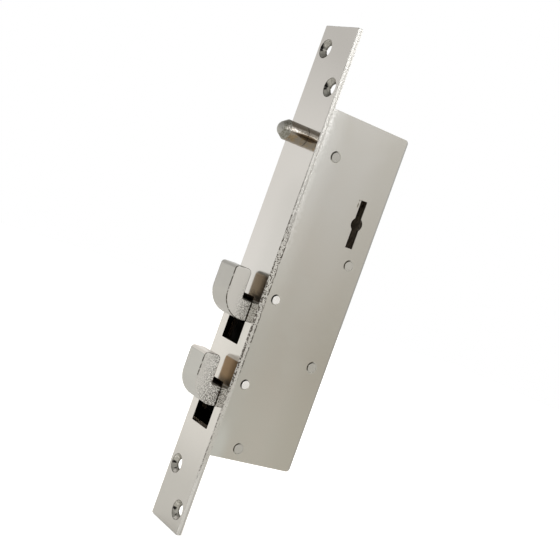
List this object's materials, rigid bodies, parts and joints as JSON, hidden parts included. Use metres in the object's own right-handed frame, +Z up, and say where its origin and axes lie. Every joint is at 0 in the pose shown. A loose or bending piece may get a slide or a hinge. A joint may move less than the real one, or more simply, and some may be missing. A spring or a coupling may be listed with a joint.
{
  "type": "sliding gate lock",
  "caption": "Mortise lock for a sliding gate: a long face plate with swing hooks and a guide pin, a slim sheet-metal case and a lever mechanism for a double-bit key.",
  "frame": {"origin": "on the key axis, in the middle of the case thickness", "axes": "+X along the key axis towards the cover side, +Y from the face plate towards the back of the case, +Z up along the face plate, towards the guide pin's end"},
  "size_m": [0.03, 0.0707, 0.27],
  "materials": {
    "plate_polish": "polished nickel plate with rolled edges",
    "case_sheet": "satin zinc-plated sheet",
    "hook_steel": "nickel-plated casting with a fine grain",
    "pin_steel": "turned steel, lightly oiled",
    "post_steel": "riveted ends, plated with the case, standing slightly proud",
    "nut_steel": "zinc-plated turned steel",
    "bar_steel": "blanked plate, deburred",
    "lever_brass": "blanked brass",
    "spring_steel": "blued spring strip"
  },
  "bodies": {
    "lock_case": {"face_plate": "plate_polish", "guide_pin": "pin_steel", "guide_pin_nut": "nut_steel", "case_body": "case_sheet", "case_cover": "case_sheet", "post_top_front": "post_steel", "post_rear_upper": "post_steel", "post_rear_lower": "post_steel", "post_bottom": "post_steel", "upper_pivot_pin": "pin_steel", "lower_pivot_pin": "pin_steel", "upper_pivot_sleeve": "nut_steel", "lower_pivot_sleeve": "nut_steel", "lever_post": "pin_steel", "lever_sleeve": "nut_steel", "lever_spring_comb": "spring_steel"},
    "drive_bar": {"drive_bar": "bar_steel", "drive_stump": "pin_steel"},
    "upper_hook": {"upper_hook": "hook_steel", "upper_crank_stud": "pin_steel"},
    "lower_hook": {"lower_hook": "hook_steel", "lower_crank_stud": "pin_steel"},
    "lever_1": {"lever_1": "lever_brass"},
    "lever_2": {"lever_2": "lever_brass"},
    "lever_3": {"lever_3": "lever_brass"},
    "lever_4": {"lever_4": "lever_brass"},
    "lever_5": {"lever_5": "lever_brass"},
    "lever_6": {"lever_6": "lever_brass"}
  },
  "joints": [
    {"name": "drive_bar_slide", "type": "slide", "parent": "lock_case", "child": "drive_bar", "axis": [0, 0, 1], "range_m": [0, 0.01485], "deforming": ["lever_spring_comb"]},
    {"name": "upper_hook_swing", "type": "hinge", "parent": "lock_case", "child": "upper_hook", "pos_m": [0, -0.0313, -0.05], "axis": [1, 0, 0], "range_deg": [0, 90]},
    {"name": "lower_hook_swing", "type": "hinge", "parent": "lock_case", "child": "lower_hook", "pos_m": [0, -0.0313, -0.096], "axis": [1, 0, 0], "range_deg": [0, 90]},
    {"name": "lever_1_swing", "type": "hinge", "parent": "lock_case", "child": "lever_1", "pos_m": [-0.0072, -0.017, -0.0295], "axis": [1, 0, 0], "range_deg": [0, 2.5]},
    {"name": "lever_2_swing", "type": "hinge", "parent": "lock_case", "child": "lever_2", "pos_m": [-0.0051, -0.017, -0.0295], "axis": [1, 0, 0], "range_deg": [0, 2.5]},
    {"name": "lever_3_swing", "type": "hinge", "parent": "lock_case", "child": "lever_3", "pos_m": [-0.003, -0.017, -0.0295], "axis": [1, 0, 0], "range_deg": [0, 2.5]},
    {"name": "lever_4_swing", "type": "hinge", "parent": "lock_case", "child": "lever_4", "pos_m": [-0.0009, -0.017, -0.0295], "axis": [1, 0, 0], "range_deg": [0, 2.5]},
    {"name": "lever_5_swing", "type": "hinge", "parent": "lock_case", "child": "lever_5", "pos_m": [0.0012, -0.017, -0.0295], "axis": [1, 0, 0], "range_deg": [0, 2.5]},
    {"name": "lever_6_swing", "type": "hinge", "parent": "lock_case", "child": "lever_6", "pos_m": [0.0033, -0.017, -0.0295], "axis": [1, 0, 0], "range_deg": [0, 2.5]}
  ],
  "couplings": [
    {"joint": "upper_hook_swing", "follows": "drive_bar_slide", "rad_per_m": 105.78},
    {"joint": "lower_hook_swing", "follows": "drive_bar_slide", "rad_per_m": 105.78},
    {"joint": "lever_1_swing", "follows": "drive_bar_slide", "rad_per_m": 2.938},
    {"joint": "lever_2_swing", "follows": "drive_bar_slide", "rad_per_m": 2.938},
    {"joint": "lever_3_swing", "follows": "drive_bar_slide", "rad_per_m": 2.938},
    {"joint": "lever_4_swing", "follows": "drive_bar_slide", "rad_per_m": 2.938},
    {"joint": "lever_5_swing", "follows": "drive_bar_slide", "rad_per_m": 2.938},
    {"joint": "lever_6_swing", "follows": "drive_bar_slide", "rad_per_m": 2.938}
  ]
}
